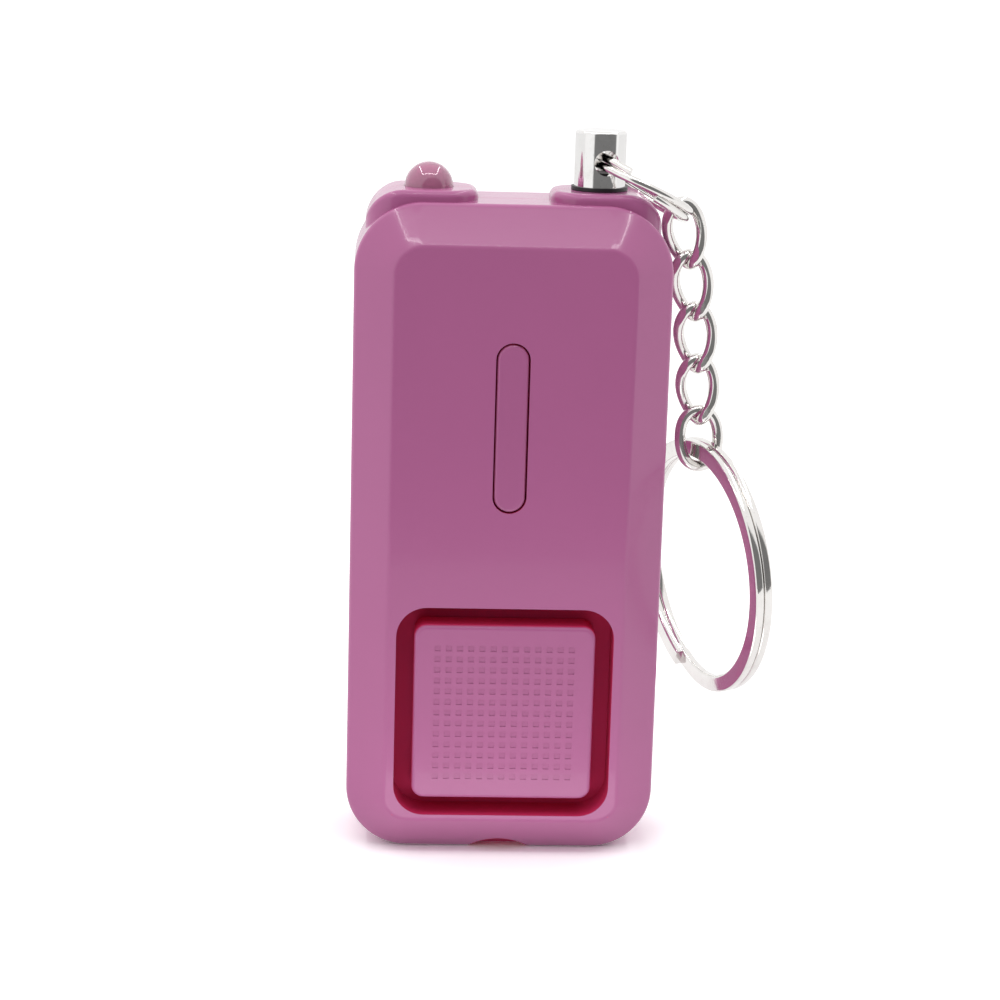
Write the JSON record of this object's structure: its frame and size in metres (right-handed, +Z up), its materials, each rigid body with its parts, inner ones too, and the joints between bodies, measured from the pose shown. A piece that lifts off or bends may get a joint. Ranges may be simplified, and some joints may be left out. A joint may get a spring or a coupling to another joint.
{
  "type": "personal safety alarm",
  "caption": "Pull-pin personal safety alarm: bevelled case with a square push button and a dome lamp, a chromed pin, split ring, curb chain and key ring.",
  "frame": {"origin": "centre of the flat foot on which the case stands", "axes": "+Z up along the case, -Y towards the face with the button, +X towards the side on which the chain hangs"},
  "size_m": [0.0438, 0.0261, 0.0758],
  "materials": {
    "pink_shell": "moulded, polished",
    "pink_trim": "moulded, satin",
    "lamp_clear": "clear epoxy",
    "pin_chrome": "polished",
    "ring_steel": "bright nickel plated",
    "chain_steel": "bright nickel plated",
    "black_plastic": "moulded",
    "board_green": "solder mask",
    "brass": "rolled",
    "copper_winding": "enamelled wire",
    "ceramic": "fired and silvered",
    "plated_steel": "nickel plated"
  },
  "bodies": {
    "case": {"front_casing": "pink_shell", "rear_casing": "pink_shell", "pill_insert": "pink_trim", "circuit_board": "board_green", "tact_switch": "black_plastic", "driver_chip": "black_plastic", "boost_coil": "copper_winding", "capacitor": "black_plastic", "siren_ring": "black_plastic", "siren_plate": "brass", "siren_ceramic": "ceramic", "siren_contacts": "brass", "button_cells": "plated_steel", "board_contacts": "plated_steel", "door_contact": "plated_steel", "battery_door": "pink_shell", "door_screw": "plated_steel", "case_screws": "plated_steel", "led_lamp": "lamp_clear", "led_leads": "plated_steel", "pin_socket": "black_plastic", "contact_blades": "brass"},
    "button": {"square_button": "pink_trim", "switch_plunger": "plated_steel"},
    "pull_pin": {"pin_head": "pin_chrome", "pin_stem": "black_plastic"},
    "small_ring": {"split_ring": "ring_steel"},
    "link_1": {"chain_link_1": "chain_steel"},
    "link_2": {"chain_link_2": "chain_steel"},
    "link_3": {"chain_link_3": "chain_steel"},
    "link_4": {"chain_link_4": "chain_steel"},
    "link_5": {"end_link": "chain_steel"},
    "keys": {"key_ring": "ring_steel"}
  },
  "joints": [
    {"name": "button_press", "type": "slide", "parent": "case", "child": "button", "axis": [0, 1, 0], "range_m": [0, 0.0008], "stiffness_N_per_m": 1500},
    {"name": "pin_pull", "type": "slide", "parent": "case", "child": "pull_pin", "axis": [0, 0, 1], "range_m": [0, 0.012]},
    {"name": "ring_swing", "type": "hinge", "parent": "pull_pin", "child": "small_ring", "pos_m": [0.00875, 0, 0.07265], "axis": [0.1994, -0.9799, 0], "range_deg": [0, 60]},
    {"name": "link_1_swing", "type": "hinge", "parent": "small_ring", "child": "link_1", "pos_m": [0.01784, 0.00185, 0.06708], "axis": [0.1994, -0.9799, 0], "range_deg": [0, 20]},
    {"name": "link_2_swing", "type": "hinge", "parent": "link_1", "child": "link_2", "pos_m": [0.01866, 0.00185, 0.0619], "axis": [0.4226, -0.9063, 0], "range_deg": [0, 25]},
    {"name": "link_3_swing", "type": "hinge", "parent": "link_2", "child": "link_3", "pos_m": [0.01943, 0.00185, 0.05641], "axis": [0.4226, -0.9063, 0], "range_deg": [0, 25]},
    {"name": "link_4_swing", "type": "hinge", "parent": "link_3", "child": "link_4", "pos_m": [0.01991, 0.00185, 0.0509], "axis": [0.4226, -0.9063, 0], "range_deg": [0, 25]},
    {"name": "link_5_swing", "type": "hinge", "parent": "link_4", "child": "link_5", "pos_m": [0.02033, 0.00185, 0.04537], "axis": [0.4226, -0.9063, 0], "range_deg": [0, 25]},
    {"name": "key_ring_swing", "type": "hinge", "parent": "link_5", "child": "keys", "pos_m": [0.0207, 0.00185, 0.0404], "axis": [0.9903, 0.1392, 0], "range_deg": [0, 30]}
  ]
}
